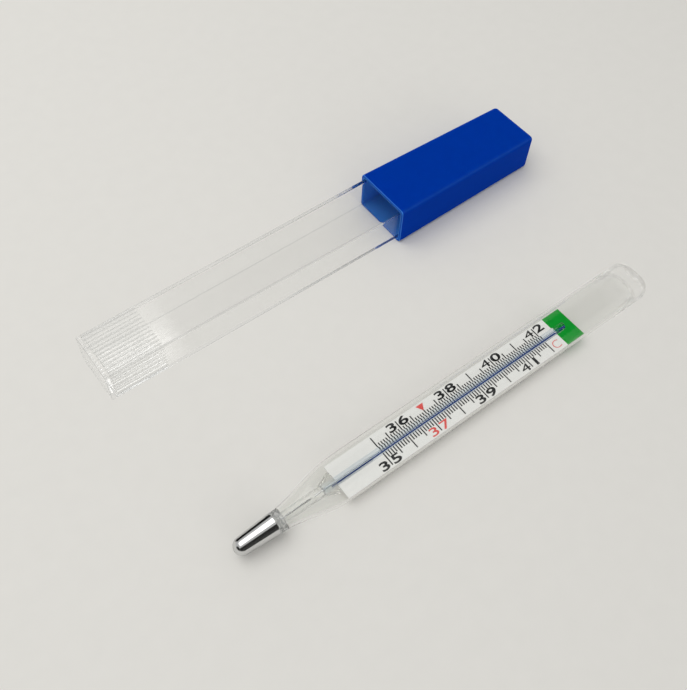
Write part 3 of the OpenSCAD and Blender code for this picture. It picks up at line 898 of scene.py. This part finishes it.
class THERMOMETER_OT_tube(Operator):
    """Makes the clear tube with its grip ribs"""

    bl_idname = "thermometer.tube"
    bl_label = "Clear tube"

    def sides(self, case):
        """Width of the tube at its closed end, and its height, both without the ribs."""
        return TUBE_HIGH.y - TUBE_LOW.y - case.draft, TUBE_HIGH.z - TUBE_LOW.z - 2 * case.rib_height

    def rows(self, case):
        """Rows of the tube's skin: closed end, outside, mouth, hollow."""
        middle = (CASE_Y, CASE_Z)
        mouth, closed, cap = TUBE_HIGH.x, TUBE_LOW.x, CAP_LOW.x
        between, chamfer, rim = closed + 50 * MM, 0.1 * MM, case.end_radius
        narrow, high = self.sides(case)

        def section(x, inward=0.0, wall=0.0):
            share = min(1.0, (x - closed) / (cap - closed))
            width = narrow + case.draft * share - 2 * wall
            return rounded_box_row(x, width - 2 * inward, high - 2 * wall - 2 * inward,
                                   case.edge_radius - wall / 2 - inward, middle)

        def inside(x, inward=0.0):
            return section(x, inward, case.wall)

        floor = closed + case.end_wall
        rows = closed_end(section(closed, rim), middle, closed, 0.5, 0.96)
        rows += [section(closed + rim - on, inward) for inward, on in reversed(quarter(rim))]
        rows += [section(x) for x in (closed + rim + SUPPORT, between, cap, mouth - chamfer)]
        rows += [section(mouth, chamfer), inside(mouth, -chamfer)]
        rows += [inside(x) for x in (mouth - chamfer, cap, between, floor + rim + SUPPORT)]
        rows += [inside(floor + rim - on, inward) for inward, on in quarter(rim)]
        return rows + closed_end(rows[-1], middle, floor, 0.5, 0.96)[::-1]

    def ribs(self, case, material):
        """Grip ribs on the tube's four faces, one object for each face."""
        tree, identifiers = ribs_tree(material)
        wide, high = self.sides(case)
        radius = case.rib_width / 2
        sink = radius - case.rib_height
        made = []
        for flat, across, half in ((True, wide, high / 2), (False, high, wide / 2)):
            count = int((across - 2 * case.edge_radius - case.rib_width) / case.rib_pitch) + 1
            first = -(count - 1) / 2 * case.rib_pitch
            for side in (-1, 1):
                at = side * (half - sink)
                y, z = (first, at) if flat else (at, first)
                step = (0.0, case.rib_pitch, 0.0) if flat else (0.0, 0.0, case.rib_pitch)
                made.append(grown("rib_row", tree, identifiers, {
                    "Count": count, "Step": step, "Length": (case.rib_length, 0.0, 0.0), "Radius": radius,
                    "First": (TUBE_LOW.x + case.rib_inset, CASE_Y + y, CASE_Z + z)}))
        return made

    def mark_grip(self, mesh, case):
        """Stores 1 on the faces that stand proud of the tube's four sides, which are the ribs."""
        least, narrow_part = 0.005 * MM, 0.5
        wide, high = self.sides(case)
        grip = []
        for face in mesh.polygons:
            x, y, z = face.center
            share = (x - TUBE_LOW.x) / (CAP_LOW.x - TUBE_LOW.x)
            proud = max(abs(y - CASE_Y) - wide / 2 - case.draft / 2 * share, abs(z - CASE_Z) - high / 2)
            grip.append(float(proud > least and share < narrow_part))
        store(mesh, "grip", "FACE", grip)

    def mark_edges(self, mesh):
        """Stores the painted grey shade: 1 along the rounded edges and ribs, and 0 on every flat side."""
        flat = 0.01
        edge = []
        for face in mesh.polygons:
            rounded = edge_lean(face.normal) > flat
            edge += [edge_lean(mesh.vertices[i].normal) if rounded else 0.0 for i in face.vertices]
        store(mesh, "edge", "CORNER", edge)

    def execute(self, context):
        case = context.scene.thermometer_case
        material = tube_finish()
        tube = skin("case_clear_tube", self.rows(case), material)
        ribs = self.ribs(case, material)
        for rib in ribs:
            union = tube.modifiers.new("union", "BOOLEAN")
            union.operation, union.solver, union.object = "UNION", "EXACT", rib
        bm = bmesh.new()
        bm.from_mesh(frozen(tube))
        tube.modifiers.clear()
        name = tube.name
        for obj in (*ribs, tube):
            bpy.data.objects.remove(obj)
        whole = finish_mesh(bm, name, material)
        self.mark_grip(whole.data, case)
        self.mark_edges(whole.data)
        settle(let_light_pass(whole), "case_clear", "case", "case_tube")
        return {"FINISHED"}


class THERMOMETER_OT_cap(Operator):
    """Makes the blue cap with its rounded end, its rim and its stop"""

    bl_idname = "thermometer.cap"
    bl_label = "Blue cap"

    def rows(self, case):
        """Rows of the cap's skin: closed end, outside, rim, fit, stop, hollow."""
        mouth, end = CAP_LOW.x, CAP_HIGH.x
        wide = CAP_HIGH.y - CAP_LOW.y
        high = CAP_HIGH.z - CAP_LOW.z
        round_end, lip, stop_width = case.cap_edge_radius, case.cap_rim_radius, case.cap_stop_width
        least_outside, least_inside, support, hollow_round = 0.05 * MM, 0.3 * MM, 0.05 * MM, 0.8 * MM
        axis = (CASE_Y, CASE_Z)

        def outside(x, inward=0.0):
            share = (x - mouth) / (end - mouth)
            width = wide - case.cap_draft * share
            height = high - case.cap_fall * share
            return rounded_box_row(x, width - 2 * inward, height - 2 * inward,
                                   max(round_end - inward, least_outside), (CASE_Y, CAP_LOW.z + height / 2))

        def inside(x, inward):
            drawn_in = 2 * case.cap_wall + 2 * inward
            return rounded_box_row(x, wide - drawn_in, high - drawn_in,
                                   max(case.edge_radius - inward, least_inside), axis)

        last = outside(end, round_end)
        middle = (CASE_Y, CAP_LOW.z + (high - case.cap_fall) / 2)
        rows = closed_end(last, middle, end, 0.5, 0.98) + [last]
        rows += [outside(end - round_end + on, inward)
                 for inward, on in reversed(quarter(round_end, 10)[:-1])]
        rows += [outside(x) for x in (end - round_end - support, mouth + lip + support)]
        rows += [outside(mouth + lip - on, inward) for inward, on in quarter(lip, 5)]
        rows += [inside(mouth + lip - lip * cos(a), -lip * sin(a)) for a in angles(5)]
        stop = TUBE_HIGH.x + case.cap_play
        rows += [inside(stop, 0.0), inside(stop, stop_width)]
        hollow_end = end - case.cap_end_wall
        rows += [inside(hollow_end - hollow_round + on, stop_width + inward)
                 for inward, on in quarter(hollow_round, 5)]
        return rows + closed_end(rows[-1], axis, hollow_end, 0.5)[::-1]

    def mark_edges(self, mesh, lip):
        """Stores how much painted light each point gets: a painted highlight, most on the rim, and much
        painted light in the hollow, which light reaches.
        """
        # Shares of painted light: a painted highlight on the rim, a faint painted highlight on the other
        # rounded edges, painted light over the hollow
        painted_rim_highlight, painted_edge_highlight, painted_hollow_light = 1.0, 0.1, 0.75
        rim_end, hollow_start = CAP_LOW.x + 0.95 * lip, CAP_LOW.x + 1 * MM
        inward, backward = -0.2, -0.5  # from here on a normal counts as facing the axis or the mouth
        axis = Vector((0.0, CASE_Y, CASE_Z))
        pale = []
        for vertex in mesh.vertices:
            normal = vertex.normal
            across = (vertex.co - axis).yz
            faces_in = across.dot(normal.yz) < inward * across.length
            end_face = normal.x < backward and vertex.co.x > hollow_start
            lean = edge_lean(normal) * (painted_rim_highlight if vertex.co.x < rim_end else painted_edge_highlight)
            pale.append(max(lean, painted_hollow_light) if faces_in or end_face else lean)
        store(mesh, "edge", "POINT", pale)

    def execute(self, context):
        case = context.scene.thermometer_case
        cap = skin("case_blue_cap", self.rows(case), cap_finish())
        self.mark_edges(cap.data, case.cap_rim_radius)
        settle(cap, "cap_blue", "cap", "case_cap")
        return {"FINISHED"}


class THERMOMETER_OT_stage(Operator):
    """Makes the table, the soft light, the dark cards and the camera"""

    bl_idname = "thermometer.stage"
    bl_label = "Stage"

    def panel(self, name, corners, material):
        """Four-cornered piece of the stage."""
        mesh = bpy.data.meshes.new(name)
        mesh.from_pydata(corners, [], [(0, 1, 2, 3)])
        mesh.materials.append(material)
        obj = place(mesh, name)
        return obj

    def table(self):
        """Pale table just under the set."""
        half, drop = 12.0, -0.02 * MM
        corners = [(-half, -half, drop), (half, -half, drop), (half, half, drop), (-half, half, drop)]
        self.panel("table", corners, solid_finish("table"))

    def lamp(self, name, spot, aim, width, height, watts, mirrored=True):
        """Soft rectangular lamp at a spot, turned to an aim; shiny surfaces show it if it is mirrored."""
        data = bpy.data.lights.new(name, "AREA")
        data.shape, data.size, data.size_y = "RECTANGLE", width, height
        data.energy, data.color = watts, (1.0, 0.99, 0.97)
        lamp = place(data, name)
        lamp.visible_glossy = lamp.visible_transmission = mirrored
        lamp.location = spot
        lamp.rotation_euler = (Vector(aim) - Vector(spot)).to_track_quat("-Z", "Y").to_euler()

    def flag(self, name, corners, reach, edge, foot=0.012):
        """Dark card that only reflections show, from within its reach and from stations below an edge.

        Foot is the grey of its lower edge.
        """
        low, high = (pick(corner[2] for corner in corners) for pick in (min, max))
        card = self.panel(name, corners, self.flag_finish(reach, edge, foot, low, high + 1 * MM))
        card.visible_camera = card.visible_diffuse = card.visible_shadow = False

    def flag_finish(self, reach, edge, foot, low, high):
        """Matt black that fades to a grey at the foot and is clear to every other ray."""
        black, reflected = 0.012, 0.5
        material, tree, shader = new_material("flag_black")
        side = add_node(tree, "ShaderNodeNewGeometry").outputs
        path = add_node(tree, "ShaderNodeLightPath").outputs
        here = add_node(tree, "ShaderNodeSeparateXYZ", {"Vector": side["Position"]})
        fade = add_node(tree, "ShaderNodeMapRange", {
            "Value": here.outputs["Z"], "From Min": low, "From Max": high, "To Min": foot, "To Max": black})
        feed(shader, {"Specular IOR Level": 0.0, "Base Color": fade})
        back = add_node(tree, "ShaderNodeVectorMath", {
            "Vector": side["Incoming"], "Scale": path["Ray Length"]}, operation="SCALE")
        start = add_node(tree, "ShaderNodeVectorMath", {0: back, 1: side["Position"]}, operation="ADD")
        there = add_node(tree, "ShaderNodeSeparateXYZ", {"Vector": start})
        hidden = side["Backfacing"]
        for output, test, limit in ((path["Ray Length"], "GREATER_THAN", reach),
                                    (path["Glossy Depth"], "LESS_THAN", reflected),
                                    (there, "GREATER_THAN", edge)):
            check = add_node(tree, "ShaderNodeMath", {0: output, 1: limit}, operation=test)
            hidden = add_node(tree, "ShaderNodeMath", {0: check, 1: hidden}, operation="MAXIMUM")
        clear = add_node(tree, "ShaderNodeBsdfTransparent")
        choice = add_node(tree, "ShaderNodeMixShader", {0: hidden, 1: shader, 2: clear})
        feed(tree.nodes["Material Output"], {"Surface": choice})
        return material

    def flags(self):
        """Cards round the bulb, which give its metal dark sides, and one over the scale, against glare."""
        def upright(start, end, foot, top):
            return [(*start, foot), (*end, foot), (*end, top), (*start, top)]

        neck = NECK_LOW.x
        near, far, left, right = -0.0475, -0.0165, -0.102, -0.042
        self.flag("flag_near", upright((right, near), (left, near), 0.003, 0.034),
                  reach=0.055, edge=neck, foot=0.09)
        self.flag("flag_left", upright((left, near), (left, -0.015), 0.003, 0.037), reach=0.045, edge=neck)
        self.flag("flag_far", upright((-0.067, far), (-0.046, far), 0.0, 0.009), reach=0.03, edge=neck)
        top, anywhere = 0.75, 5.0
        self.flag("flag_over", [(0.13, -0.5, top), (0.13, 0.6, top), (0.9, 0.6, top), (0.9, -0.5, top)],
                  reach=anywhere, edge=anywhere)

    def world(self):
        """Pale surroundings."""
        world = bpy.data.worlds.new("room")
        world.use_nodes = True
        feed(world.node_tree.nodes["Background"], {"Color": (0.58, 0.58, 0.572, 1.0)})
        bpy.context.scene.world = world

    def camera(self):
        """Camera at the photograph's place, turn and lens."""
        aim = Vector((-13.32, 0.20, 0.0)) * MM
        azimuth, elevation, roll = (radians(angle) for angle in (-40.32, 56.50, 3.50))
        distance = 214.72 * MM
        back = Vector((sin(azimuth) * cos(elevation), -cos(azimuth) * cos(elevation),
                       sin(elevation)))
        data = bpy.data.cameras.new("camera")
        data.sensor_width, data.lens, data.clip_start = 36.0, 45.53, 0.01
        camera = place(data, "camera")
        turn = (-back).to_track_quat("-Z", "Y").to_matrix().to_4x4() @ Matrix.Rotation(roll, 4, "Z")
        camera.matrix_world = Matrix.Translation(aim + back * distance) @ turn
        bpy.context.scene.camera = camera

    def execute(self, context):
        self.table()
        self.lamp("ceiling", (-0.19, 0.22, 0.62), (-0.19, 0.22, 0.0), width=0.60, height=0.66, watts=2.0)
        self.lamp("strip", (0.06, 0.415, 0.60), (-0.05, 0.02, 0.01), width=0.07, height=0.018, watts=0.008)
        self.lamp("fill", (0.0, -1.0, 0.30), (0.0, 0.0, 0.0), width=0.80, height=0.40, watts=1.2,
                  mirrored=False)
        self.flags()
        self.world()
        self.camera()
        context.scene.view_settings.view_transform = "Standard"
        cycles = context.scene.cycles
        cycles.max_bounces, cycles.glossy_bounces, cycles.transmission_bounces = 24, 16, 24
        return {"FINISHED"}


class VIEW3D_PT_thermometer(Panel):
    """Lists the steps that dress the thermometer and its case"""

    bl_label = "Thermometer"
    bl_space_type = "VIEW_3D"
    bl_region_type = "UI"
    bl_category = "Thermometer"

    def draw(self, context):
        for step in STEPS:
            self.layout.operator(step.bl_idname)


GROUPS = {
    "thermometer_glass": GlassSizes,
    "thermometer_scale": ScaleSizes,
    "thermometer_case": CaseSizes,
    "thermometer_colours": Colours,
}
STEPS = (
    THERMOMETER_OT_stage,
    THERMOMETER_OT_glass_body,
    THERMOMETER_OT_bulb,
    THERMOMETER_OT_stem,
    THERMOMETER_OT_thread,
    THERMOMETER_OT_plate,
    THERMOMETER_OT_lines,
    THERMOMETER_OT_numerals,
    THERMOMETER_OT_tube,
    THERMOMETER_OT_cap,
)
CLASSES = (*GROUPS.values(), *STEPS, VIEW3D_PT_thermometer)


def register():
    for item in CLASSES:
        bpy.utils.register_class(item)
    for name, group in GROUPS.items():
        setattr(Scene, name, bpy.props.PointerProperty(type=group))


def unregister():
    for name in GROUPS:
        delattr(Scene, name)
    for item in reversed(CLASSES):
        bpy.utils.unregister_class(item)


def main():
    register()
    for step in STEPS:
        family, name = step.bl_idname.split(".")
        getattr(getattr(bpy.ops, family), name)()


if __name__ == "__main__":
    main()
